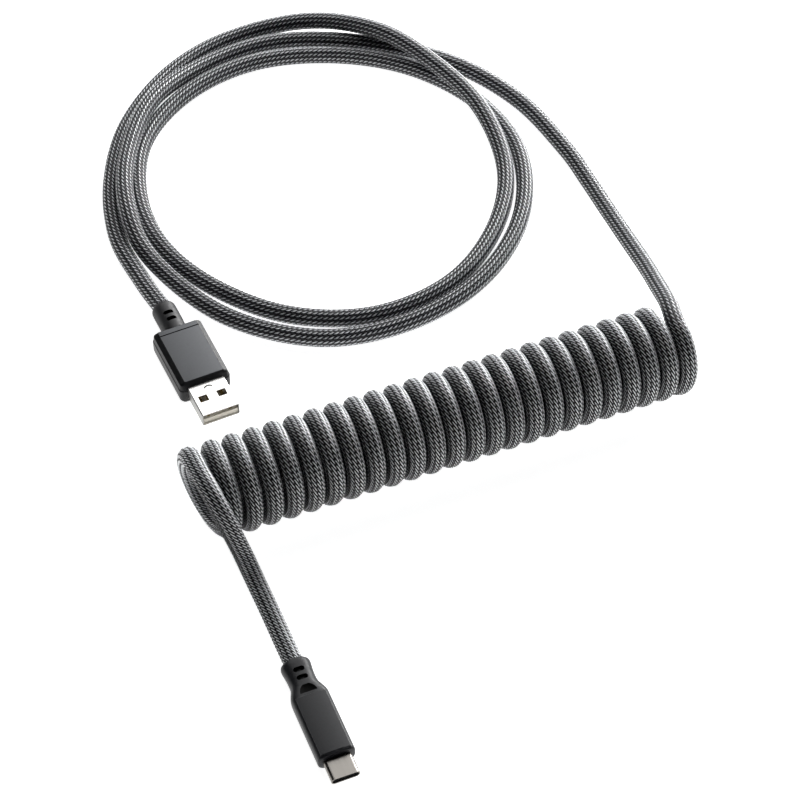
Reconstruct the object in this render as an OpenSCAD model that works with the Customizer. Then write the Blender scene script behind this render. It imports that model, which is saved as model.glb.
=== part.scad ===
// Coiled, sleeved keyboard cable: a USB-A plug, a long host lead laid in loops,
// a heat-set coil, a short device lead and a USB-C plug, all lying on a table.
// Row frame: +X along the coil, both plugs point along -Y, +Z up, z = 0 is the table.

/* [Cord] */
// Outside diameter of the sleeved cord
cord_d = 5.8; // [4:0.1:6]
// Outside diameter of the inner jacket, under the sleeve
jacket_d = 4; // [3.6:0.1:4]
// Bore of the inner jacket, round the four conductors
jacket_bore = 3; // [2.9:0.1:3]

/* [Coil] */
// Outside diameter of the coil
coil_d = 29; // [24:0.5:30]
// Left end of the coil, where the device lead leaves it
coil_left = -7; // [-7:0.5:0]
// Right end of the coil, where the host lead joins it
coil_right = 140; // [136:0.5:142]
// Distance of the coil's axis from the X axis
coil_y = 7.2; // [6:0.1:8]

/* [USB-A plug] */
// Width of the metal shell
a_shell_w = 12; // [11.9:0.1:12.1]
// Height of the metal shell
a_shell_h = 4.5; // [4.4:0.1:4.6]
// Thickness of the shell's sheet
a_sheet = 0.3; // [0.25:0.05:0.35]
// Length of shell that stands out of the housing
a_nose = 11.8; // [11.5:0.1:12.5]
// Length of the whole shell
a_shell_l = 18.5; // [17:0.5:20]
// Width of the housing
a_w = 16.5; // [16:0.1:17]
// Height of the housing over its two raised faces
a_h = 8.3; // [8:0.1:9]
// Height of the housing's rounded rim
a_rim_h = 5.8; // [5.6:0.1:6.4]
// Width of the two raised faces
a_face_w = 13.2; // [12.6:0.1:13.6]
// Length of the housing
a_l = 24.5; // [24:0.5:27]
// Diameter of the strain relief
a_relief_d = 7.8; // [7.2:0.1:8]
// Length of the strain relief
a_relief_l = 11.5; // [10:0.5:14]

/* [USB-C plug] */
// Width of the metal shell
c_shell_w = 8.25; // [8.2:0.05:8.3]
// Height of the metal shell
c_shell_h = 2.4; // [2.35:0.05:2.45]
// Thickness of the shell's sheet
c_sheet = 0.3; // [0.2:0.05:0.3]
// Length of shell that stands out of the housing
c_nose = 6.65; // [6.5:0.05:6.7]
// Length of the whole shell
c_shell_l = 10.5; // [10:0.5:11]
// Width of the housing
c_w = 10.8; // [10.6:0.1:12]
// Height of the housing
c_h = 6.5; // [6.3:0.1:6.5]
// Length of the housing
c_l = 23.5; // [22:0.5:25]
// Width of the strain relief
c_relief_w = 8; // [7.6:0.1:8.4]
// Length of the strain relief
c_relief_l = 9.8; // [9:0.1:12]

/* [Hidden] */
$fn = 48;

cut = 0.1;                 // how far a cutting shape runs past the face that it opens
gap = 0.03;                // clearance between a moulded pocket and what sits in it
barrel_gap = 0.1;          // clearance round a shield's crimp barrel
shield_t = 0.3;            // sheet of the rear shields
crimp_l = 4.5;             // length of a shield's crimp barrel
crimp_bore = jacket_d + 0.1;
crimp_d = crimp_bore + 0.7;
wire_hole = jacket_bore + 0.3;
seat = 3;                  // how deep the cord's sleeve sits in a strain relief

// Places of the plugs: the middle of each shell's mouth, and the height of each plug's middle
a_tip = [4.4, 42];
a_turn = 3;
a_mid = a_h / 2;
c_tip = [-6.6, -89.5];
c_mid = c_h / 2;

// Lengths inside the USB-A plug, measured back from the shell's mouth
a_end = a_nose + a_l;
a_rear = a_end + a_relief_l;
a_seat = a_rear - seat;
a_block = 10;              // front of the insulator's full-height block
a_block_end = 16;
a_can = 14;                // front of the rear shield
a_can_end = 29;
a_can_w = a_shell_w + 0.9;
a_can_h = a_shell_h + 0.8;
a_pins = [-3.5, -1, 1, 3.5];
pin_t = 0.2;
pin_top = -0.05;           // top face of the USB-A contacts
a_wire_d = 0.95;
bundle = 0.65;             // half the spacing of the conductors inside the jacket

// Lengths inside the USB-C plug, measured back from the shell's mouth
c_end = c_nose + c_l;
c_rear = c_end + c_relief_l;
c_seat = c_rear - seat;
c_can = 8.5;
c_can_end = 20.5;
c_can_w = 9.4;
c_can_h = 3.8;
card = 9.8;
card_end = 19.5;
card_t = 0.7;
c_slot_h = 0.72;           // height of the mouth that takes the socket's tongue
c_pin_t = 0.15;
c_pin_w = 0.25;
c_tail = 11.5;
c_upper = [-2.75, -1.25, -0.75, -0.25, 0.25, 1.25, 2.75];
c_lower = [-2.75, -1.25, 0.75, 1.25, 2.75];
c_wire_d = 0.9;

// Route of the host lead, from the USB-A plug to the coil: x, y, and lift off the table
host_route = [
    [0, 104, 0], [-1.5, 126, 0], [4.5, 151, 0], [18, 175.5, 0], [40, 195, 0], [66, 204, 0],
    [92, 199, 3], [111, 182, 6], [122, 160, 6], [128.5, 134, 5], [126, 107, 1], [112, 84, 0],
    [90, 67.5, 0], [63, 63.5, 0], [38, 73.5, 0], [20, 93.5, 0], [10.5, 117, 0], [11, 142, 0],
    [21, 166, 0], [42, 183, 0], [68, 189, 0], [95, 182, 0], [117, 166, 0], [131, 142, 0],
    [134, 114, 0], [122, 85.5, 0], [99, 65, 0], [71, 56.8, 0], [43, 61, 0], [19, 81, 0],
    [5.5, 112, 0.5], [4.5, 133, 4.8], [12, 156, 5.2], [28.5, 179.5, 4.4], [53.5, 194, 0.6],
    [79, 196, 0], [106, 184.5, 0], [130, 164, 0], [144, 138, 0], [149, 110, 0], [149.5, 94, 0.3],
    [148.5, 76, 2.5], [146.5, 57, 7], [144, 40, 12.5], [141, 26, 18], [138.4, 15, 22.6]];
host_rings = 80;

// Route of the device lead, from the coil's left end over its top and down to the USB-C plug
device_route = [
    [-10.5, 15, 20.6], [-13, 11, 22.6], [-13.5, 7.2, 23.05], [-13.2, 2, 23.6], [-12.7, -2.9, 22.7],
    [-11.9, -6.5, 20.2], [-10.9, -9.1, 16.8], [-9.9, -10.8, 13.1], [-8.8, -12.1, 8.9], [-7.8, -13.9, 4.7],
    [-7, -17.7, 1], [-6.7, -24, 0], [-6.6, -32, 0], [-6.6, -41, 0]];
device_rings = 12;
tube_sides = 10;

// A point of the route in the row frame: the lift is counted from a cord lying on the table
function lifted(p) = [p[0], p[1], cord_d / 2 + p[2]];
// A point of a plug, given in the plug's own frame, brought into the row frame
function placed(tip, turn, mid, p) =
    [tip[0] + p[0] * cos(turn) - p[1] * sin(turn), tip[1] + p[0] * sin(turn) + p[1] * cos(turn), mid + p[2]];

host_path = concat([placed(a_tip, a_turn, a_mid, [0, a_seat, 0]), placed(a_tip, a_turn, a_mid, [0, a_rear, 0])],
                   [for (p = host_route) lifted(p)]);
device_path = concat([[coil_left, 16, 22]], [for (p = device_route) lifted(p)],
                     [[c_tip[0], c_tip[1] + c_rear, c_mid], [c_tip[0], c_tip[1] + c_seat, c_mid]]);

// Smooth curve through the points of a route; it never dips below a cord lying on the table
function knot(p, i) = p[max(0, min(len(p) - 1, i))];
function spline(a, b, c, d, t) =
    (2 * b + (c - a) * t + (2 * a - 5 * b + 4 * c - d) * t * t + (3 * b - a - 3 * c + d) * t * t * t) / 2;
function floored(p) = [p[0], p[1], max(cord_d / 2, p[2])];
function along(p, u) =
    let (i = min(len(p) - 2, floor(u)), t = u - i)
    floored(spline(knot(p, i - 1), knot(p, i), knot(p, i + 1), knot(p, i + 2), t));
function unit(v) = v / norm(v);

// One ring of a tube, square to the direction given
function ring(centre, way, r) =
    let (side = unit(cross(way, [0, 0, 1])), up = cross(side, way))
    [for (k = [0 : tube_sides - 1]) centre + r * (up * cos(360 * k / tube_sides) + side * sin(360 * k / tube_sides))];

// Solid through a row of rings, with its first and last rings square to the ways given
module swept(centres, first_way, last_way, r) {
    rings = len(centres);
    ways = [for (i = [0 : rings - 1])
        i == 0 ? first_way : i == rings - 1 ? last_way : unit(centres[i + 1] - centres[i - 1])];
    points = [for (i = [0 : rings - 1]) each ring(centres[i], ways[i], r)];
    sides = [for (i = [0 : rings - 2], k = [0 : tube_sides - 1])
        let (a = i * tube_sides, b = a + tube_sides, n = (k + 1) % tube_sides)
        each [[a + k, b + k, b + n], [a + k, b + n, a + n]]];
    first_cap = [[for (k = [0 : tube_sides - 1]) k]];
    last_cap = [[for (k = [tube_sides - 1 : -1 : 0]) (rings - 1) * tube_sides + k]];
    polyhedron(points, concat(first_cap, sides, last_cap));
}

// Cord laid along a route
module tube(path, rings, first_way, last_way) {
    step = (len(path) - 1) / (rings - 1);
    swept([for (i = [0 : rings - 1]) along(path, i * step)], first_way, last_way, cord_d / 2);
}

// Outline with round corners, made of true arcs
module rounded(w, h, r) {
    square([w - 2 * r, h], center = true);
    square([w, h - 2 * r], center = true);
    for (x = [-1, 1], y = [-1, 1]) translate([x * (w / 2 - r), y * (h / 2 - r)]) circle(r);
}

// Outline pushed back along the plug, from one distance behind the mouth to another
module back(from, to) {
    translate([0, to, 0]) rotate([90, 0, 0]) linear_extrude(to - from) children();
}

// Box across the plug's middle, given by its width, its span back from the mouth and its heights
module slab(w, from, to, low, high) {
    translate([-w / 2, from, low]) cube([w, to - from, high - low]);
}

// Round bar along the plug
module bar(d, from, to) {
    translate([0, to, 0]) rotate([90, 0, 0]) cylinder(d = d, h = to - from);
}

module at_a() { translate([a_tip[0], a_tip[1], a_mid]) rotate([0, 0, a_turn]) children(); }
module at_c() { translate([c_tip[0], c_tip[1], c_mid]) children(); }

// Ribs of a strain relief: two rounded pockets above and two below
module relief_pockets(from, pitch, w, depth_z, h) {
    for (i = [0, 1], side = [-1, 1])
        translate([0, from + i * pitch, side * (h / 2 - depth_z / 2 + cut / 2)])
            linear_extrude(depth_z + cut, center = true) rounded(w, 1.5, 0.7);
}

// Shield folded round the back of a plug, with a crimp barrel that grips the jacket
module rear_shield(w, h, from, to) {
    difference() {
        union() {
            slab(w, from, to, -h / 2, h / 2);
            bar(crimp_d, to - cut, to + crimp_l);
        }
        slab(w - 2 * shield_t, from - cut, to - shield_t, -h / 2 + shield_t, h / 2 - shield_t);
        bar(wire_hole, to - 1, to + cut);
        bar(crimp_bore, to + gap, to + crimp_l + cut);
    }
}

// Inner jacket, stripped back to let the conductors out
module jacket_end(from, to) {
    difference() {
        bar(jacket_d, from, to);
        bar(jacket_bore, from - cut, to + cut);
    }
}

// ---- USB-A plug ----

module a_shell() color("#d9d6cf") at_a() {
    hole_w = 2.8;
    hole_l = 2.5;
    hole_x = 2.95;
    hole_y = 6.3;
    slit_y = 9;
    slit_r = 1.6;
    slit_w = 0.5;
    slit_reach = 1.3;
    difference() {
        back(0, a_shell_l) difference() {
            rounded(a_shell_w, a_shell_h, 0.5);
            rounded(a_shell_w - 2 * a_sheet, a_shell_h - 2 * a_sheet, 0.25);
        }
        for (x = [-1, 1])
            translate([x * hole_x - hole_w / 2, hole_y - hole_l / 2, -a_shell_h]) cube([hole_w, hole_l, 2 * a_shell_h]);
        intersection() {
            translate([0, slit_y, 0]) difference() {
                cylinder(r = slit_r + slit_w / 2, h = a_shell_h);
                cylinder(r = slit_r - slit_w / 2, h = a_shell_h);
            }
            slab(2 * slit_reach, slit_y + slit_r / 2, slit_y + 2 * slit_r, 0, a_shell_h);
        }
    }
}

module a_pin_slots(slack) {
    for (x = a_pins) translate([x, 0, 0])
        slab(1 + 2 * slack, abs(x) > 2 ? 1.2 : 2.2, 18.4 + slack, pin_top - pin_t - slack, pin_top + slack);
}

module a_insulator() color("#e9e2d2") at_a() {
    bottom = -a_shell_h / 2 + a_sheet + gap;
    difference() {
        union() {
            slab(a_shell_w - 2 * a_sheet - 0.2, 0.5, a_block, bottom, pin_top - 0.05);
            slab(a_shell_w - 2 * a_sheet - 0.2, a_block, a_block_end, bottom, -bottom);
        }
        a_pin_slots(gap / 2);
    }
}

module a_contacts() color("#d4af5a") at_a() a_pin_slots(0);

module a_wire_set(slack) {
    d = a_wire_d + 2 * slack;
    z = pin_top + a_wire_d / 2 + 0.02;
    for (s = [-1, 1], outer = [0, 1]) {
        x = s * (outer ? 3.5 : 1);
        end_z = outer ? -bundle : bundle;
        swept([[x, 16.8 - slack, z], [x, 19, z], [s * bundle, 27.6, end_z], [s * bundle, 38, end_z]],
              [0, 1, 0], [0, 1, 0], d / 2);
    }
}

module a_wires() color("#b03028") at_a() a_wire_set(0);

module a_inner_mold() color("#e4e4dc") at_a() {
    difference() {
        union() {
            slab(a_shell_w - 2 * a_sheet - 0.2, a_block_end + gap, a_shell_l + 2 * gap, -1.85, 1.85);
            slab(a_can_w - 2 * shield_t - 2 * gap, a_shell_l + gap, a_can_end - shield_t - gap,
                 -a_can_h / 2 + shield_t + gap, a_can_h / 2 - shield_t - gap);
        }
        a_wire_set(gap);
        a_pin_slots(gap);
    }
}

module a_rear_shield() color("#b9bcc0") at_a() rear_shield(a_can_w, a_can_h, a_can, a_can_end);

module a_jacket() color("#3a3a3c") at_a() jacket_end(a_can_end + 2 * gap, a_seat - gap);

module a_housing() color("#4a4c50") at_a() {
    face_edge = 0.6;
    difference() {
        union() {
            back(a_nose, a_end) rounded(a_w, a_rim_h, a_rim_h / 2 - 0.3);
            slab(a_face_w, a_nose + face_edge, a_end - face_edge, -a_h / 2, a_h / 2);
        }
        back(a_nose - cut, a_can + cut) rounded(a_shell_w + 2 * gap, a_shell_h + 2 * gap, 0.5);
        slab(a_can_w + 2 * gap, a_can - gap, a_can_end + gap, -a_can_h / 2 - gap, a_can_h / 2 + gap);
        bar(crimp_d + 2 * barrel_gap, a_can_end - cut - gap, a_can_end + crimp_l + gap);
        bar(jacket_d + 2 * gap, a_can_end, a_end + cut);
    }
}

module a_strain_relief() color("#3c3d40") at_a() {
    rim = 1;
    difference() {
        translate([0, a_end, 0]) rotate([-90, 0, 0]) rotate_extrude() {
            square([a_relief_d / 2, a_relief_l - rim]);
            square([a_relief_d / 2 - rim, a_relief_l]);
            translate([a_relief_d / 2 - rim, a_relief_l - rim]) circle(rim);
        }
        bar(jacket_d + 2 * gap, a_end - cut, a_rear);
        bar(cord_d + 0.1, a_seat, a_rear + cut);
        relief_pockets(a_end + 5.2, 2.6, 4.2, 1.4, a_relief_d);
    }
}

// ---- Cord ----

module host_lead() color("#5b5c60")
    tube(host_path, host_rings, [-sin(a_turn), cos(a_turn), 0], unit([-2.6, -11, 4.6]));

module coil() color("#56575b")
    translate([coil_left, coil_y, coil_d / 2]) rotate([0, 90, 0]) cylinder(d = coil_d, h = coil_right - coil_left, $fn = 72);

module device_lead() color("#5b5c60") tube(device_path, device_rings + len(device_path), [-1, 0, 0], [0, -1, 0]);

// ---- USB-C plug ----

module c_strain_relief() color("#303134") at_c() {
    r = c_h / 2;
    difference() {
        back(c_end, c_rear) rounded(c_relief_w, c_h, r - 0.02);
        bar(jacket_d + 2 * gap, c_end - cut, c_rear);
        bar(cord_d + 0.1, c_seat, c_rear + cut);
        relief_pockets(c_end + 3.9, 2.4, 4, 1, c_h);
    }
}

module c_housing() color("#2b2b2e") at_c() {
    shoulder = 3;
    corner = 2.6;
    thin = 0.01;
    difference() {
        union() {
            back(c_nose, c_end - shoulder) rounded(c_w, c_h, corner);
            hull() {
                back(c_end - shoulder - thin, c_end - shoulder) rounded(c_w, c_h, corner, $fn = 32);
                back(c_end - thin, c_end) rounded(c_relief_w, c_h, c_h / 2 - 0.02, $fn = 32);
            }
        }
        back(c_nose - cut, c_can + cut) rounded(c_shell_w + 2 * gap, c_shell_h + 2 * gap, c_shell_h / 2);
        slab(c_can_w + 2 * gap, c_can - gap, c_can_end + gap, -c_can_h / 2 - gap, c_can_h / 2 + gap);
        bar(crimp_d + 2 * barrel_gap, c_can_end - cut - gap, c_can_end + crimp_l + gap);
        bar(jacket_d + 2 * gap, c_can_end, c_end + cut);
    }
}

module c_jacket() color("#3a3a3c") at_c() jacket_end(c_can_end + 2 * gap, c_seat - gap);

module c_wire_set(slack) {
    d = c_wire_d + 2 * slack;
    z = card_t / 2 + c_wire_d / 2 + 0.02;
    for (x = [-1, 1], s = [-1, 1])
        swept([[x * 1.2, 17 - slack, s * z], [x * 1.2, 18.6, s * z], [x * bundle, 19.8, s * z], [x * bundle, 28, s * bundle]],
              [0, 1, 0], [0, 1, 0], d / 2);
}

module c_wires() color("#c7c7c7") at_c() c_wire_set(0);

module c_card_shape(slack) {
    slab(7.2 + 2 * slack, card - slack, c_shell_l + 0.4, -card_t / 2 - slack, card_t / 2 + slack);
    slab(8.4 + 2 * slack, c_shell_l + 0.3 - slack, card_end + slack, -card_t / 2 - slack, card_t / 2 + slack);
}

module c_chip_shape(slack) {
    translate([2.4, 14.5, 0]) slab(1 + 2 * slack, -0.25 - slack, 0.25 + slack, card_t / 2 + 0.01, card_t / 2 + 0.36 + slack);
}

module c_inner_mold() color("#e4e4dc") at_c() {
    difference() {
        slab(c_can_w - 2 * shield_t - 2 * gap, c_shell_l + gap, c_can_end - shield_t - gap,
             -c_can_h / 2 + shield_t + gap, c_can_h / 2 - shield_t - gap);
        c_card_shape(gap);
        c_chip_shape(gap);
        c_wire_set(gap);
        for (s = [-1, 1]) c_pin_row(s > 0 ? c_upper : c_lower, s, gap);
    }
}

module c_rear_shield() color("#b9bcc0") at_c() rear_shield(c_can_w, c_can_h, c_can, c_can_end);

module c_resistor() color("#1d1d1f") at_c() c_chip_shape(0);

module c_paddle_card() color("#1f6b46") at_c() c_card_shape(0);

// A row of contacts above (side 1) or below (side -1) the mouth
module c_pin_row(pins, side, slack) {
    low = c_slot_h / 2 - slack;
    high = c_slot_h / 2 + c_pin_t + slack;
    for (x = pins) translate([x, 0, 0])
        slab(c_pin_w + 2 * slack, 2, c_tail + slack, side > 0 ? low : -high, side > 0 ? high : -low);
}

module c_contacts_upper() color("#d4af5a") at_c() c_pin_row(c_upper, 1, 0);

module c_contacts_lower() color("#d4af5a") at_c() c_pin_row(c_lower, -1, 0);

// Spring plate between the contact rows, with a latch arm at each side of the mouth
module c_latch_shape(slack) {
    for (s = [-1, 1])
        translate([s * 3.35 - 0.1 - slack, 1.8 - slack, -0.3 - slack]) cube([0.2 + 2 * slack, 7.2 + 2 * slack, 0.6 + 2 * slack]);
    slab(6.7 + 2 * slack, 7.2 - slack, 9 + slack, -0.1 - slack, 0.1 + slack);
}

module c_latch_spring() color("#c9ccd0") at_c() c_latch_shape(0);

module c_emi_shape(slack) {
    top = c_shell_h / 2 - c_sheet - gap;
    for (s = [-1, 1], x = [-1, 0, 1]) translate([x * 1.7, 0, 0])
        slab(1.2 + 2 * slack, 1.2 - slack, 4 + slack, s > 0 ? top - 0.1 - slack : -top - slack, s > 0 ? top + slack : -top + 0.1 + slack);
    for (s = [-1, 1])
        slab(5 + 2 * slack, 3.9 - slack, 5 + slack, s > 0 ? top - 0.1 - slack : -top - slack, s > 0 ? top + slack : -top + 0.1 + slack);
}

module c_emi_springs() color("#c9ccd0") at_c() c_emi_shape(0);

module c_insulator() color("#1b1b1d") at_c() {
    w = c_shell_w - 2 * c_sheet - 2 * gap;
    h = c_shell_h - 2 * c_sheet - 2 * gap;
    difference() {
        back(0.5, 9.6) rounded(w, h, h / 2 - 0.01);
        slab(6.4, 0.4, 6.6, -c_slot_h / 2, c_slot_h / 2);
        c_latch_shape(gap);
        for (s = [-1, 1]) c_pin_row(s > 0 ? c_upper : c_lower, s, gap / 2);
        c_emi_shape(gap / 2);
    }
}

module c_shell() color("#d9d6cf") at_c()
    back(0, c_shell_l) difference() {
        rounded(c_shell_w, c_shell_h, c_shell_h / 2 - 0.01);
        rounded(c_shell_w - 2 * c_sheet, c_shell_h - 2 * c_sheet, c_shell_h / 2 - c_sheet - 0.01);
    }

a_shell();
a_insulator();
a_contacts();
a_rear_shield();
a_inner_mold();
a_wires();
a_jacket();
a_housing();
a_strain_relief();
host_lead();
coil();
device_lead();
c_strain_relief();
c_housing();
c_jacket();
c_wires();
c_inner_mold();
c_rear_shield();
c_resistor();
c_paddle_card();
c_latch_spring();
c_emi_springs();
c_contacts_upper();
c_contacts_lower();
c_insulator();
c_shell();
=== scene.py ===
# A coiled, sleeved keyboard cable on a white table, in the CAD's row frame.
# The cord's line and the plugs' shapes are worked out in millimetres, and everything else is in metres.
import math

import bmesh
import bpy
import numpy as np
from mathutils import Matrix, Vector


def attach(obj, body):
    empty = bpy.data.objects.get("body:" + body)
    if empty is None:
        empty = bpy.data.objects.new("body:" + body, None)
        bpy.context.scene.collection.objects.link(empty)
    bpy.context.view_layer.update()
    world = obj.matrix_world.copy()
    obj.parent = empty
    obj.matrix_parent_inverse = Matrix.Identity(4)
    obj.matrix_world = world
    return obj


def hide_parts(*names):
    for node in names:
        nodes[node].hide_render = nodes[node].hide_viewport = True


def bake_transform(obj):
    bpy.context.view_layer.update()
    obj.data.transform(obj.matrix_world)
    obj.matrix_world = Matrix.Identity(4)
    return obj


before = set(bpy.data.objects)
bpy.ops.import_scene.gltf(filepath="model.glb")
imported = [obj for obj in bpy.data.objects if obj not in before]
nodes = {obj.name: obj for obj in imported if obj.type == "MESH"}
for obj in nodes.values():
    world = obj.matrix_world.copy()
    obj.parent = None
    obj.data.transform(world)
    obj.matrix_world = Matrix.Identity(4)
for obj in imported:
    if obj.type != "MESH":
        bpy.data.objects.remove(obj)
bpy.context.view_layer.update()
scene = bpy.context.scene
MM = 0.001
FULL_TURN = 2 * math.pi

# ---------------------------------------------------------------- camera
camera = bpy.data.objects.new("camera", bpy.data.cameras.new("camera"))
scene.collection.objects.link(camera)
scene.camera = camera
camera.data.lens = 108
camera.data.sensor_width = 36
camera.data.clip_start = 0.02
camera.data.clip_end = 20
camera.location = (-0.1212, -0.4103, 0.5523)
aim = Vector((0.0576, 0.0305, 0)) - camera.location
camera.rotation_mode = "QUATERNION"
camera.rotation_quaternion = aim.to_track_quat("-Z", "Y")

# ---------------------------------------------------------------- the cord's route, in millimetres
CORD_D = 5.8
COIL_WIRE_D = 6.1
COIL_R = 11.45
COIL_PITCH = 6.25
COIL_TURNS = 24
COIL_Y = 7.2
COIL_Z = 14.5
COIL_RIGHT = 137
LEAN = 0.75             # how far each turn leans along the coil,
LEAN_AT = 41            # and the angle round the turn, in degrees, where it does so most
OPENING = 1.5           # how far the last turn stands off from the one before it
A_TIP = (4.4, 42.0, 4.15)
A_TURN = 3
A_REAR = 47.8
C_TIP = (-6.6, -89.5, 3.25)
C_REAR = 39.95
SEAT = 3                # how deep the cord goes into a strain relief

# x, y, and lift off the table
HOST_ROUTE = [
    (0, 104, 0), (-1.5, 126, 0), (4.5, 151, 0), (18, 175.5, 0), (40, 195, 0), (66, 204, 0),
    (92, 199, 3), (111, 182, 6), (122, 160, 6), (128.5, 134, 5), (126, 107, 1), (112, 84, 0),
    (90, 67.5, 0), (63, 63.5, 0), (38, 73.5, 0), (20, 93.5, 0), (10.5, 117, 0), (11, 142, 0),
    (21, 166, 0), (42, 183, 0), (68, 189, 0), (95, 182, 0), (117, 166, 0), (131, 142, 0),
    (134, 114, 0), (122, 85.5, 0), (99, 65, 0), (71, 56.8, 0), (43, 61, 0), (19, 81, 0),
    (5.5, 112, 0.5), (4.5, 133, 4.8), (12, 156, 5.2), (28.5, 179.5, 4.4), (53.5, 194, 0.6),
    (79, 196, 0), (106, 184.5, 0), (130, 164, 0), (144, 138, 0), (149, 110, 0), (149.5, 94, 0.3),
    (148.5, 76, 2.5), (146.5, 57, 7), (144, 40, 12.5), (141, 26, 18), (138.4, 15, 22.6)]
DEVICE_ROUTE = [
    (-13.2, 2, 23.6), (-12.7, -2.9, 22.7), (-11.9, -6.5, 20.2), (-10.9, -9.1, 16.8),
    (-9.9, -10.8, 13.1), (-8.8, -12.1, 8.9), (-7.8, -13.9, 4.7), (-7, -17.7, 1), (-6.7, -24, 0),
    (-6.6, -32, 0), (-6.6, -41, 0)]

COIL_STEPS = 64         # points to a turn of the coil's line
SPAN_STEPS = 16         # points between two points of a route
GUIDE = 8               # how many points into the coil a lead's line aims as it joins
COIL_FADE = (4, 6)      # a lead gives way to the coil from this far outside it to this far inside it
PLUG_HOLD = (3, 8)      # the line is held in a plug for the first length and free from the second
RELAX_ROUNDS = 90


def placed(tip, turn, p):
    """A point of a plug, given in the plug's own frame in mm, in the row frame."""
    c = math.cos(math.radians(turn))
    s = math.sin(math.radians(turn))
    return (tip[0] + p[0] * c - p[1] * s, tip[1] + p[0] * s + p[1] * c, tip[2] + p[2])


def lifted(route):
    """Centre line of a cord that lies on the table, or the route's lift above it."""
    return [(x, y, CORD_D / 2 + lift) for x, y, lift in route]


def lengths(points):
    """Distance along a line at each of its points."""
    return np.r_[0, np.cumsum(np.linalg.norm(np.diff(points, axis=0), axis=1))]


def even(points, step):
    """The same line with its points an even step apart."""
    along = lengths(points)
    at = np.linspace(0, along[-1], max(2, round(along[-1] / step) + 1))
    return np.column_stack([np.interp(at, along, points[:, k]) for k in range(3)])


def catmull(points):
    """Smooth line through a route's points."""
    p = np.array(points, float)
    p = np.vstack([p[:1], p, p[-1:]])
    t = np.linspace(0, 1, SPAN_STEPS, endpoint=False)[:, None]
    out = []
    for a, b, c, d in zip(p, p[1:], p[2:], p[3:]):
        square = (2 * a - 5 * b + 4 * c - d) * t**2
        cube = (3 * b - a - 3 * c + d) * t**3
        out.append((2 * b + (c - a) * t + square + cube) / 2)
    return np.vstack(out + [p[-1:]])


def relax(points, free):
    """Takes the kinks out of the free points of an evenly spaced line."""
    p = points.copy()
    pull = free[1:-1, None] * 0.5
    for _ in range(RELAX_ROUNDS):
        p[1:-1] += pull * ((p[:-2] + p[2:]) / 2 - p[1:-1])
    p[:, 2] = np.maximum(p[:, 2], CORD_D / 2)
    return p


def ramp(x, low, high):
    """0 below low, 1 above high, smooth between."""
    t = np.clip((x - low) / (high - low), 0, 1)
    return t * t * (3 - 2 * t)


def coil_line():
    """Centre line of the coil: it goes over the top towards -Y, and one pitch along -X a turn."""
    t = np.linspace(0, COIL_TURNS, COIL_TURNS * COIL_STEPS + 1)
    turn = np.radians(90 + 360 * t)
    x = COIL_RIGHT - COIL_PITCH * t - LEAN * np.cos(turn - math.radians(LEAN_AT))
    last = np.clip(t - COIL_TURNS + 1, 0, 1)
    x -= OPENING * np.sin(math.pi * last**1.8) ** 2
    return np.column_stack([x, COIL_Y + COIL_R * np.cos(turn), COIL_Z + COIL_R * np.sin(turn)])


def plug_points(tip, turn, *at):
    """Points on a plug's own axis, at these distances behind its tip."""
    return [placed(tip, turn, (0, y, 0)) for y in at]


# ---------------------------------------------------------------- braid sizes
STRANDS = 24            # in each of the two families
BRAID_ANGLE = math.radians(30)
BRAID_LEAD = math.pi * CORD_D / math.tan(BRAID_ANGLE)
CYCLE_ROWS = 8          # mesh rows to one over and under
HOST_CYCLE_ROWS = 10    # the host lead's lay is longer, about 25 degrees
STEP = 2 * BRAID_LEAD / STRANDS / CYCLE_ROWS

# ---------------------------------------------------------------- the whole cord's centre line
host = plug_points(A_TIP, A_TURN, A_REAR - SEAT, A_REAR) + lifted(HOST_ROUTE)
device = lifted(DEVICE_ROUTE) + plug_points(C_TIP, 0, C_REAR, C_REAR - SEAT)
coil = coil_line()
host_line = catmull(host + [tuple(coil[0]), tuple(coil[GUIDE])])[:-SPAN_STEPS]
device_line = catmull([tuple(coil[-1 - GUIDE]), tuple(coil[-1])] + device)[SPAN_STEPS:]
line = np.vstack([host_line[:-1], coil, device_line[1:]])
marks = lengths(line)
host_mm = marks[len(host_line) - 1]
device_mm = marks[-1] - marks[len(host_line) + len(coil) - 3]
line = even(line, STEP)
run = lengths(line)
cord_mm = run[-1]
coil_end = cord_mm - device_mm

on_coil = ramp(run, host_mm - COIL_FADE[0], host_mm + COIL_FADE[1])
on_coil *= 1 - ramp(run, coil_end - COIL_FADE[1], coil_end + COIL_FADE[0])
free = ramp(run, *PLUG_HOLD) * (1 - ramp(run, cord_mm - PLUG_HOLD[1], cord_mm - PLUG_HOLD[0]))
line = relax(line, (1 - on_coil) * free)
run = lengths(line)
cord_mm = run[-1]
coil_end = cord_mm - device_mm
radius = (CORD_D + (COIL_WIRE_D - CORD_D) * on_coil) / 2
host_i = int(np.searchsorted(run, host_mm))
device_i = int(np.searchsorted(run, coil_end))
print(f"cord: host lead {host_mm:.0f} mm, device lead {device_mm:.0f} mm, whole cord {cord_mm:.0f} mm")

# an upright frame along the line, carried from point to point without twist
way = np.gradient(line, axis=0)
way /= np.linalg.norm(way, axis=1)[:, None]
up = np.empty_like(way)
held = np.array([0.0, 0.0, 1.0])
for i, w in enumerate(way):
    held = held - w * (held @ w)
    held /= np.linalg.norm(held)
    up[i] = held
side = np.cross(way, up)


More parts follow.
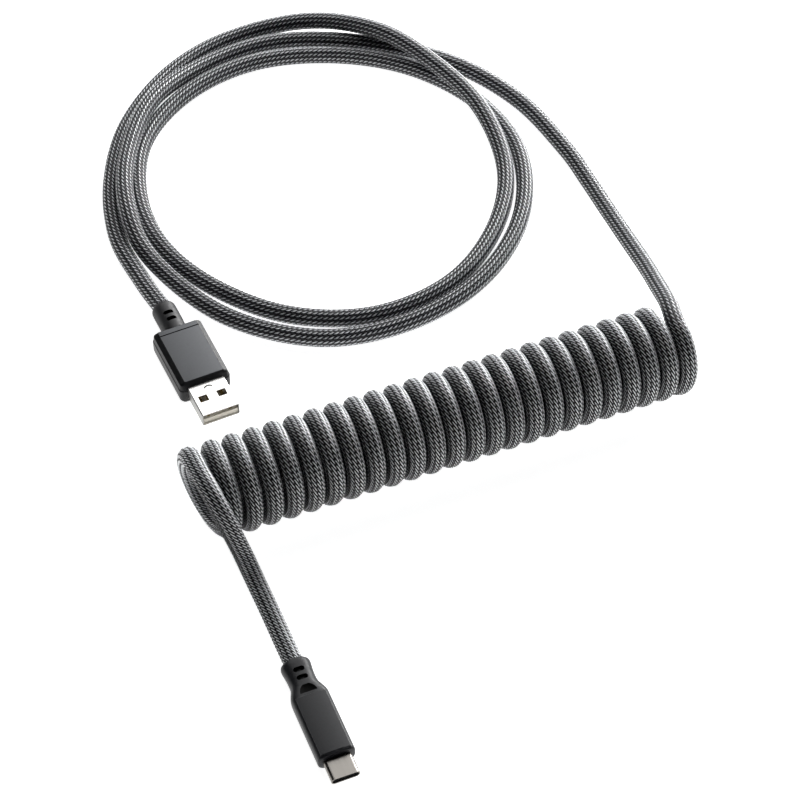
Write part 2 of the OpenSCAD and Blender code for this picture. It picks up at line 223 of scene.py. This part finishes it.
# ---------------------------------------------------------------- material and mesh helpers
def material(name, colour, rough, metallic=0.0, specular=0.5):
    """Principled material with plain numbers on its own sockets."""
    mat = bpy.data.materials.new(name)
    mat.use_nodes = True
    shader = mat.node_tree.nodes["Principled BSDF"]
    shader.inputs["Base Color"].default_value = (*colour, 1)
    shader.inputs["Roughness"].default_value = rough
    shader.inputs["Metallic"].default_value = metallic
    shader.inputs["Specular IOR Level"].default_value = specular
    return mat


NOISE_SPAN = (0.3, 0.7)     # noise values at a material's first and second colour or roughness


def textured(mat, scale, colours, rough, bump, grain=(1, 1, 1)):
    """Adds moulded or drawn grain: noise that drives some of colour, roughness and a fine bump."""
    tree = mat.node_tree
    shader = tree.nodes["Principled BSDF"]
    place = tree.nodes.new("ShaderNodeTexCoord")
    mapping = tree.nodes.new("ShaderNodeMapping")
    mapping.inputs["Scale"].default_value = grain
    tree.links.new(place.outputs["Object"], mapping.inputs["Vector"])
    noise = tree.nodes.new("ShaderNodeTexNoise")
    noise.inputs["Scale"].default_value = scale
    noise.inputs["Detail"].default_value = 4
    tree.links.new(mapping.outputs["Vector"], noise.inputs["Vector"])
    if colours:
        tint = tree.nodes.new("ShaderNodeValToRGB")
        for stop, position, colour in zip(tint.color_ramp.elements, NOISE_SPAN, colours):
            stop.position = position
            stop.color = (*colour, 1)
        tree.links.new(noise.outputs["Fac"], tint.inputs["Fac"])
        tree.links.new(tint.outputs["Color"], shader.inputs["Base Color"])
    if rough:
        spread = tree.nodes.new("ShaderNodeMapRange")
        spread.inputs["From Min"].default_value = NOISE_SPAN[0]
        spread.inputs["From Max"].default_value = NOISE_SPAN[1]
        spread.inputs["To Min"].default_value = rough[0]
        spread.inputs["To Max"].default_value = rough[1]
        tree.links.new(noise.outputs["Fac"], spread.inputs["Value"])
        tree.links.new(spread.outputs["Result"], shader.inputs["Roughness"])
    if bump:
        strength, depth_mm = bump
        relief = tree.nodes.new("ShaderNodeBump")
        relief.inputs["Strength"].default_value = strength
        relief.inputs["Distance"].default_value = depth_mm * MM
        tree.links.new(noise.outputs["Fac"], relief.inputs["Height"])
        tree.links.new(relief.outputs["Normal"], shader.inputs["Normal"])
    return mat


def mesh_object(name, points_mm, quads, mats, which=None):
    """Smooth mesh object from arrays of points, in millimetres, and four-cornered faces."""
    mesh = bpy.data.meshes.new(name)
    mesh.vertices.add(len(points_mm))
    mesh.vertices.foreach_set("co", (np.asarray(points_mm) * MM).astype(np.float32).ravel())
    mesh.loops.add(quads.size)
    mesh.loops.foreach_set("vertex_index", quads.astype(np.int32).ravel())
    mesh.polygons.add(len(quads))
    mesh.polygons.foreach_set("loop_start", np.arange(0, quads.size, 4, dtype=np.int32))
    for mat in mats:
        mesh.materials.append(mat)
    if which is not None:
        mesh.polygons.foreach_set("material_index", which.astype(np.int32))
    mesh.polygons.foreach_set("use_smooth", np.full(len(quads), True))
    mesh.update(calc_edges=True)
    mesh.validate()
    obj = bpy.data.objects.new(name, mesh)
    scene.collection.objects.link(obj)
    return obj


def sheet_quads(rows, columns, closed=False):
    """Faces of a grid of points, one row after another; closed joins its last column to its first."""
    r = np.arange(rows - 1)[:, None] * columns
    c = np.arange(columns if closed else columns - 1)[None, :]
    n = (c + 1) % columns
    return np.stack([r + c, r + n, r + columns + n, r + columns + c], axis=-1).reshape(-1, 4)


# ---------------------------------------------------------------- the cord: dark core and braided sleeve
LIGHT, DARK = -1, 1     # the two families of strands, by the way they wind
STRAND_W = {LIGHT: 0.4, DARK: 0.5}
STRAND_CROWN = 0.12     # how far a strand's ridge stands above its edges
RIDGE = 0.2             # how far the ridge lies off the middle, as a share of half the width
WAVE = 0.16             # how far a strand rises and dips as it goes over and under
WAVE_GAIN = 1.5         # steepens the wave, which is then cut off flat above and below
SINK = 0.28             # depth of the wave's middle below the cord's surface
FAVOUR = 0.5            # keeps the light family on top for more of its way
CORE_GAP = 0.1          # between the core and the lowest strands
DULL_SHARE = 0.12       # of the painted glint faces, made duller at random
HOST_PARTS = 4
COIL_PARTS = 6
rng = np.random.default_rng(7)

# The light family's own colour is silver-grey and the dark family's near-black. The steps from glint down
# to black are lit and shaded copies of these colours, and the glint is a painted highlight on the
# strands' crests.
PAINTED_GLINT = material("filament_painted_glint", (0.95, 0.975, 1.0), 0.22, specular=1.0)
SILVER = material("filament_silver", (0.485, 0.5, 0.53), 0.24, specular=0.8)
PEWTER = material("filament_pewter", (0.215, 0.222, 0.24), 0.25, specular=0.8)
ASH = material("filament_ash", (0.032, 0.033, 0.037), 0.3, specular=0.5)
SMOKE = material("filament_smoke", (0.006, 0.006, 0.007), 0.35, specular=0.3)
BLACK = material("filament_black", (0.002, 0.002, 0.0025), 0.45, specular=0.15)
CORE = material("core_jacket", (0.004, 0.004, 0.004), 0.8, specular=0.1)

FILAMENTS = [PAINTED_GLINT, SILVER, PEWTER, SMOKE, BLACK, ASH]
painted_glint, silver, pewter, smoke, black, ash = range(len(FILAMENTS))
# For the two faces across a strand: the tone above each of these heights of the wave, and the tone below
# them. These tones are painted light and shade: a painted glint and lighter tones where a strand rides
# over the other family, and darker painted shade where it dips under. On the host lead ("dotted") the
# painted glints are short dashes on dark. On the coil and device lead ("lined") the light strands are
# painted as long light lines.
PAINTED_LIGHT_BY_HEIGHT = {
    (DARK, "dotted"): [([(-0.3, ash)], smoke), ([(-0.3, ash)], smoke)],
    (DARK, "lined"): [([(-0.3, smoke)], black), ([(-0.3, smoke)], black)],
    (LIGHT, "dotted"): [([(0.9, painted_glint), (0.5, silver)], smoke), ([(0.5, painted_glint), (0, silver)], ash)],
    (LIGHT, "lined"): [([(0.8, pewter)], black), ([(-0.3, painted_glint), (-0.8, silver)], pewter)]}


def blended(obj):
    """Bakes a piece's placement into its mesh; it does not follow the coil's stretch.
    """
    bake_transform(obj)


def core_tube(name, sides=14, every=3):
    """Round core under the sleeve, and its centre line in metres."""
    pick = np.unique(np.r_[np.arange(0, len(line), every), len(line) - 1])
    turn = np.linspace(0, FULL_TURN, sides, endpoint=False)[None, :, None]
    around = up[pick][:, None] * np.cos(turn) + side[pick][:, None] * np.sin(turn)
    points = line[pick][:, None] + around * (radius[pick] - SINK - WAVE - CORE_GAP)[:, None, None]
    obj = mesh_object(name, points.reshape(-1, 3), sheet_quads(len(pick), sides, closed=True), [CORE])
    blended(obj)
    return obj, line[pick] * MM


def painted_light_tone(height, steps, rest):
    """Filament tone of each face by the height of the wave there: a painted glint or lighter tone where
    the strand rides high, painted shade where it dips.
    """
    return np.select([height > low for low, _ in steps], [filament for _, filament in steps], rest)


def sleeve(name, rows, look):
    """Braided sleeve over some rows of the cord.

    Two families of strands wind opposite ways, each over two and under two of the other.
    """
    cycle = HOST_CYCLE_ROWS if look == "dotted" else CYCLE_ROWS
    points = []
    quads = []
    kinds = []
    for hand in (LIGHT, DARK):
        for k in range(STRANDS):
            wound = hand * 2 * FULL_TURN * (rows - host_i - 0.5) / cycle / STRANDS
            turn = wound + FULL_TURN * k / STRANDS
            cos = np.cos(turn)[:, None]
            sin = np.sin(turn)[:, None]
            out = up[rows] * cos + side[rows] * sin
            round_way = side[rows] * cos - up[rows] * sin
            wave = hand * np.cos(turn * STRANDS / 2)
            lift = np.clip(WAVE_GAIN * (wave - hand * FAVOUR), -1, 1)
            level = radius[rows] - SINK + WAVE * lift
            centre = line[rows] + out * level[:, None]
            across = round_way * math.cos(BRAID_ANGLE) - hand * way[rows] * math.sin(BRAID_ANGLE)
            half = STRAND_W[hand] / 2
            ridge = centre + out * STRAND_CROWN - across * half * RIDGE
            ribbon = np.stack([centre - across * half, ridge, centre + across * half], axis=1)
            quads.append(sheet_quads(len(rows), 3) + 3 * len(rows) * len(points))
            points.append(ribbon.reshape(-1, 3))
            # painted light and shade: each face's tone follows how high the strand rides in its wave
            height = (wave[:-1] + wave[1:]) / 2
            kind = np.stack([painted_light_tone(height, *face) for face in PAINTED_LIGHT_BY_HEIGHT[hand, look]], axis=1)
            dull = rng.random(kind.shape) < DULL_SHARE
            kinds.append(np.where((kind == painted_glint) & dull, silver, kind).ravel())
    return mesh_object(name, np.vstack(points), np.vstack(quads), FILAMENTS, np.concatenate(kinds))


core, core_path = core_tube("cord_core")
host_cuts = np.linspace(0, host_i, HOST_PARTS + 1)
coil_cuts = np.linspace(host_i, device_i, COIL_PARTS + 1)
cuts = [round(x) for x in (*host_cuts, *coil_cuts[1:])] + [len(line) - 1]
for n, (a, b) in enumerate(zip(cuts, cuts[1:])):
    rows = np.arange(a, b + 1)
    piece = sleeve(f"sleeve_{n + 1}", rows, "dotted" if b <= host_i else "lined")
    if b <= host_i:
        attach(piece, "host_side")
    elif a >= device_i:
        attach(piece, "device_side")
    else:
        blended(piece)
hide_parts("host_lead", "coil", "device_lead")

# ---------------------------------------------------------------- the plugs' materials
DRAWN = (1, 0.12, 1)    # grain pulled along the plug
# painted shade: a darker copy of the nickel for the USB-A shell's upright walls, while its top keeps the
# bright nickel
SHADED_NICKEL_WALL = material("nickel_painted_shade_wall", (0.4, 0.395, 0.385), 0.32, metallic=1.0)
NICKEL = textured(
    material("nickel", (0.86, 0.85, 0.83), 0.24, metallic=1.0), 900,
    None, (0.2, 0.27), None, grain=DRAWN)
WARM_NICKEL = textured(
    material("warm_nickel", (0.28, 0.265, 0.245), 0.3, metallic=1.0), 900,
    None, (0.26, 0.36), (0.15, 0.01), grain=DRAWN)
SHEET_STEEL = material("sheet_steel", (0.62, 0.62, 0.62), 0.35, metallic=1.0)
GOLD = material("gold", (0.5, 0.39, 0.2), 0.35, metallic=1.0)
BEIGE = textured(
    material("tongue_a", (0.8, 0.75, 0.64), 0.55), 500,
    ((0.74, 0.69, 0.58), (0.82, 0.77, 0.67)), None, (0.2, 0.03))
BLACK_LCP = material("tongue_c", (0.02, 0.02, 0.022), 0.5)
# painted light: a lighter copy of the housing's black plastic for the USB-A housing's top panel, where
# the softbox's light falls
LIT_PANEL_A = textured(
    material("panel_a_painted_light", (0.115, 0.122, 0.133), 0.42), 1500,
    ((0.11, 0.117, 0.127), (0.12, 0.127, 0.139)), (0.38, 0.46), (0.3, 0.015))
GREY = textured(
    material("housing_a", (0.01, 0.0105, 0.0115), 0.4, specular=0.3), 1500,
    ((0.009, 0.0095, 0.0105), (0.012, 0.0125, 0.0137)), (0.36, 0.46), (0.35, 0.02))
SATIN = textured(
    material("housing_c", (0.018, 0.0186, 0.022), 0.38, specular=0.35), 1500,
    ((0.016, 0.0165, 0.0195), (0.02, 0.0207, 0.0245)), (0.34, 0.44), (0.3, 0.015))
RUBBER = textured(
    material("relief", (0.022, 0.022, 0.024), 0.5), 1200,
    ((0.018, 0.018, 0.02), (0.028, 0.028, 0.031)), (0.45, 0.6), (0.3, 0.02))
NATURAL = material("inner_mold", (0.75, 0.75, 0.7), 0.5)
WIRE = material("conductor", (0.5, 0.06, 0.05), 0.4)
JACKET = material("jacket", (0.02, 0.02, 0.022), 0.6)
CARD = material("card", (0.02, 0.14, 0.07), 0.35)
CHIP = material("chip", (0.02, 0.02, 0.02), 0.5)
# painted shadow: near-black for the cut slots, groove and scoop, the shell's latch slit and the
# insulator's top, where shade falls
PAINTED_SLOT_SHADOW = material("slot_shadow", (0.004, 0.004, 0.004), 0.8, specular=0.1)

FINISH = {
    "a_shell": NICKEL, "c_shell": WARM_NICKEL,
    "a_rear_shield": SHEET_STEEL, "c_rear_shield": SHEET_STEEL,
    "c_latch_spring": SHEET_STEEL, "c_emi_springs": SHEET_STEEL,
    "a_contacts": GOLD, "c_contacts_upper": GOLD, "c_contacts_lower": GOLD,
    "a_insulator": BEIGE, "c_insulator": BLACK_LCP,
    "a_housing": GREY, "c_housing": SATIN, "a_strain_relief": RUBBER, "c_strain_relief": RUBBER,
    "a_inner_mold": NATURAL, "c_inner_mold": NATURAL, "a_wires": WIRE, "c_wires": WIRE,
    "a_jacket": JACKET, "c_jacket": JACKET, "c_paddle_card": CARD, "c_resistor": CHIP}
for name, mat in FINISH.items():
    nodes[name].data.materials.clear()
    nodes[name].data.materials.append(mat)
    edges = nodes[name].modifiers.new("crisp_edges", "EDGE_SPLIT")
    edges.split_angle = math.radians(30)


def paint(obj, mat, chosen):
    """Second material on the faces whose world-space normal and centre, in mm, pass the test."""
    obj.data.materials.append(mat)
    for face in obj.data.polygons:
        normal = (obj.matrix_world.to_3x3() @ face.normal).normalized()
        if chosen(normal, obj.matrix_world @ face.center / MM):
            face.material_index = len(obj.data.materials) - 1


def wall(normal):
    """Whether a face stands up more than it lies down."""
    return abs(normal.z) < 0.6


SLIT = placed(A_TIP, A_TURN, (0, 10.3, 2))
SLIT_REACH = 2.2
TONGUE_TOP = A_TIP[2] + 1.5
# painted shade: the shell's upright walls get the darker copy of the nickel
paint(nodes["a_shell"], SHADED_NICKEL_WALL, lambda normal, middle: wall(normal))
# painted shadow on the walls of the shell's latch slit
paint(nodes["a_shell"], PAINTED_SLOT_SHADOW,
      lambda normal, middle: wall(normal) and math.dist(middle, SLIT) < SLIT_REACH)
# painted shadow on the insulator's top, in the shade inside the plug's mouth
paint(nodes["a_insulator"], PAINTED_SLOT_SHADOW,
      lambda normal, middle: normal.z > 0.9 and middle.z > TONGUE_TOP)


# ---------------------------------------------------------------- helpers for housings and strain reliefs
def to_row(points, tip, turn):
    """Points of a plug, in the plug's own frame in mm, in the row frame."""
    return np.array([placed(tip, turn, p) for p in points])


def loft(name, rings, mat, tip, turn):
    """Skin over closed rings of points, with both ends filled."""
    count = len(rings[0])
    points = to_row(np.vstack(rings), tip, turn)
    obj = mesh_object(name, points, sheet_quads(len(rings), count, closed=True), [mat])
    bm = bmesh.new()
    bm.from_mesh(obj.data)
    bm.verts.ensure_lookup_table()
    for first in (0, (len(rings) - 1) * count):
        bm.faces.new([bm.verts[first + i] for i in range(count)])
    bmesh.ops.recalc_face_normals(bm, faces=bm.faces)
    for face in bm.faces:
        face.smooth = True
    bm.to_mesh(obj.data)
    bm.free()
    return obj


def plan_ring(z, half_w, front, rear, corner, steps=8):
    """Rounded rectangle seen from above, at one height."""
    out = []
    middles = [(half_w - corner, rear - corner), (corner - half_w, rear - corner),
               (corner - half_w, front + corner), (half_w - corner, front + corner)]
    for n, (x, y) in enumerate(middles):
        for a in np.radians(np.linspace(90 * n, 90 * n + 90, steps)):
            out.append((x + corner * math.cos(a), y + corner * math.sin(a), z))
    return np.array(out)


# places across half a section, as shares of its half width
ACROSS = np.array([1, 0.999, 0.995, 0.985, 0.965, 0.93, 0.88, 0.83, 0.806, 0.796, 0.7, 0.55, 0.4, 0.2, 0])
CROWN_EDGE = 0.8        # a crowned face ends here,
CROWN_FALL = 3          # after falling this many times its crown


def cross_ring(y, half_w, half_h, power, crown=0.0):
    """Section across a plug: a rounded box, or an oval when power is 2, with crowned faces if asked."""
    high = half_h * (1 - ACROSS**power) ** (1 / power)
    face = half_h + crown * (1 - CROWN_FALL * (ACROSS / CROWN_EDGE)**2)
    high = np.where((ACROSS < CROWN_EDGE) & (crown > 0), np.maximum(face, high), high)
    x = half_w * np.r_[ACROSS, -ACROSS[-2::-1]]
    z = np.r_[high, high[-2::-1]]
    top = np.column_stack([x, np.full(len(x), y), z])
    low = np.column_stack([-x[1:-1], np.full(len(x) - 2, y), -z[1:-1]])
    return np.vstack([top, low])


def slot_cutter(tip, turn, y, width, length, low, high):
    """Pill-shaped pocket cutter, long across the plug."""
    rings = []
    for z in (low, high):
        ring = []
        for side_x in (1, -1):
            for a in np.radians(np.linspace(-90, 90, 9)):
                x = side_x * ((width - length) / 2 + length / 2 * math.cos(a))
                ring.append((x, y + side_x * length / 2 * math.sin(a), z))
        rings.append(np.array(ring))
    return loft("cutter", rings, PAINTED_SLOT_SHADOW, tip, turn)


def groove_cutter(tip, turn, front, rear, half_w, low, high, lean=0.1):
    """Straight groove cutter, long across the plug, with walls that lean."""
    rings = [plan_ring(low, half_w, front, rear, 0.02, 2),
             plan_ring(high, half_w, front - lean, rear + lean, 0.02, 2)]
    return loft("cutter", rings, PAINTED_SLOT_SHADOW, tip, turn)


def scoop_cutter(tip, turn, y, z, half_w, back, depth):
    """Arched hollow cutter, straight in front."""
    b = np.linspace(0, FULL_TURN, 24, endpoint=False)
    rings = []
    for a in np.radians(np.linspace(-88, 88, 17)):
        r = math.cos(a)
        arch = y + back * r * np.maximum(np.sin(b), -0.02)
        level = np.full(len(b), z + depth * math.sin(a))
        rings.append(np.column_stack([half_w * r * np.cos(b), arch, level]))
    return loft("cutter", rings, PAINTED_SLOT_SHADOW, tip, turn)


def carve(obj, cutters):
    """Cuts the cutters out of obj for good."""
    for cutter in cutters:
        cut = obj.modifiers.new("cut", "BOOLEAN")
        cut.operation = "DIFFERENCE"
        cut.solver = "EXACT"
        cut.object = cutter
        # the cut faces take the cutter's material, the painted slot shadow
        cut.material_mode = "TRANSFER"
    view = bpy.context.evaluated_depsgraph_get()
    mesh = bpy.data.meshes.new_from_object(obj.evaluated_get(view))
    obj.modifiers.clear()
    obj.data = mesh
    for cutter in cutters:
        bpy.data.objects.remove(cutter)


def crisp(obj, angle):
    obj.data.set_sharp_from_angle(angle=math.radians(angle))


# ---------------------------------------------------------------- the USB-A plug's outside
# height, half width, front, rear, corner radius
A_BOX_LEVELS = [
    (-4.15, 6.9, 12.6, 35.6, 0.9), (-3.6, 7.6, 12.1, 36, 1.2), (-2.9, 8.15, 11.85, 36.25, 1.5),
    (-2.4, 8.25, 11.8, 36.3, 1.6), (1.2, 8.25, 11.8, 36.3, 1.6), (1.45, 8.05, 11.95, 36.2, 1.5),
    (3.15, 7.75, 12.45, 36, 1.1), (3.25, 7.6, 12.5, 35.95, 1), (3.95, 6.6, 12.85, 35.6, 0.7),
    (4.08, 6.4, 12.95, 35.45, 0.55), (4.15, 6.2, 13.1, 35.3, 0.5)]
# place along the plug, radius
A_BOOT_STATIONS = [
    (35.8, 3.7), (37, 3.72), (38.4, 3.8), (40.5, 3.88), (45.8, 3.9), (46.9, 3.84),
    (47.4, 3.7), (47.7, 3.45), (47.8, 3.15), (47.75, 2.98), (47.2, 2.92)]
A_BOOT_SLOTS = (39.8, 42.5)


def a_plug_pieces():
    box = loft("a_housing_shell", [plan_ring(*level) for level in A_BOX_LEVELS], GREY, A_TIP, A_TURN)
    carve(box, [groove_cutter(A_TIP, A_TURN, front=33.3, rear=33.65, half_w=7, low=3.95, high=4.6)])
    # painted light: the flat top faces of the panel get the lighter copy of the black plastic
    paint(box, LIT_PANEL_A, lambda normal, middle: normal.z > 0.99 and middle.z > A_TIP[2] + 4.1)
    crisp(box, 20)
    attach(box, "host_side")
    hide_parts("a_housing")
    boot = loft("a_boot", [cross_ring(y, r, r, 2) for y, r in A_BOOT_STATIONS], RUBBER, A_TIP, A_TURN)
    carve(boot, [slot_cutter(A_TIP, A_TURN, y, 3.2, 1.45, 2.6, 5) for y in A_BOOT_SLOTS])
    crisp(boot, 40)
    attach(boot, "host_side")
    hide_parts("a_strain_relief")


# ---------------------------------------------------------------- the USB-C plug's outside
# place along the plug, half width, half height, power, and a crown where there is one
C_BOX_STATIONS = [
    (6.4, 4.9, 2.75, 3), (6.5, 5.15, 2.95, 3.2), (6.75, 5.33, 3.08, 3.4), (7.1, 5.4, 3.1, 3.5),
    (7.25, 5.4, 3.1, 3.5, 0.15), (7.4, 5.4, 3.1, 3.5, 0.15), (26.35, 5.4, 3.1, 3.5, 0.15),
    (26.5, 5.4, 3.1, 3.5, 0.15), (26.65, 5.4, 3.1, 3.5), (27.3, 5.36, 3.1, 3.4),
    (28.2, 5.2, 3.08, 3.1), (29.2, 4.85, 3.06, 2.8), (30.15, 4.45, 3.04, 2.6)]
C_BOOT_STATIONS = [
    (30.1, 4.45, 3.04, 2.6), (31, 4.12, 3.02, 2.5), (32.2, 3.96, 3, 2.4), (34.4, 3.98, 3.02, 2.4),
    (36.4, 4.16, 3.1, 2.4), (37.6, 4.32, 3.16, 2.4), (38.5, 4.3, 3.16, 2.4), (38.95, 4.12, 3.12, 2.3),
    (39.3, 3.7, 3.08, 2.2), (39.35, 3.1, 3.04, 2), (38.9, 2.95, 2.92, 2)]
C_BOOT_SLOTS = (32.7, 35.4)


def c_plug_pieces():
    box = loft("c_housing_shell", [cross_ring(*station) for station in C_BOX_STATIONS], SATIN, C_TIP, 0)
    carve(box, [scoop_cutter(C_TIP, 0, y=27.5, z=3.5, half_w=2.8, back=3.1, depth=1.1)])
    crisp(box, 32)
    boot = loft("c_boot", [cross_ring(*station) for station in C_BOOT_STATIONS], SATIN, C_TIP, 0)
    carve(boot, [slot_cutter(C_TIP, 0, y, 3.3, 1.55, 1.9, 4.5) for y in C_BOOT_SLOTS])
    crisp(boot, 40)
    for piece, node, name in ((box, "c_housing", "housing_c"), (boot, "c_strain_relief", "relief")):
        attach(piece, "device_side")
        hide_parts(node)
    return box, boot


a_plug_pieces()
c_box, c_boot = c_plug_pieces()

# ---------------------------------------------------------------- floor, light and world
bpy.ops.mesh.primitive_plane_add(size=6, location=(0.06, 0.04, -0.0001))
floor = bpy.context.object
floor.name = "floor"
paper = material("floor", (0.86, 0.86, 0.86), 0.9, specular=0.1)
paper.node_tree.nodes["Principled BSDF"].inputs["Emission Color"].default_value = (1, 1, 1, 1)
paper.node_tree.nodes["Principled BSDF"].inputs["Emission Strength"].default_value = 0.92
floor.data.materials.append(paper)


def area_light(name, place, target, size, power):
    """Softbox that faces its target, with its size in metres and its power in watts."""
    light = bpy.data.objects.new(name, bpy.data.lights.new(name, "AREA"))
    light.data.shape = "RECTANGLE"
    light.data.size, light.data.size_y = size
    light.data.energy = power
    light.location = place
    light.rotation_mode = "QUATERNION"
    light.rotation_quaternion = (Vector(target) - Vector(place)).to_track_quat("-Z", "Y")
    scene.collection.objects.link(light)


area_light("back_softbox", (0.42, 0.85, 0.95), (0.06, 0.05, 0), (1.6, 1.2), 11)
area_light("side_softbox", (1.1, 0.8, 0.42), (0.04, 0.12, 0), (0.9, 0.6), 24)

# a dim, even room: the floor and the two softboxes give nearly all of the light
world = bpy.data.worlds.new("studio")
scene.world = world
world.use_nodes = True
world.node_tree.nodes["Background"].inputs["Strength"].default_value = 0.3
scene.view_settings.view_transform = "Standard"
scene.view_settings.look = "None"
scene.view_settings.exposure = 0.0
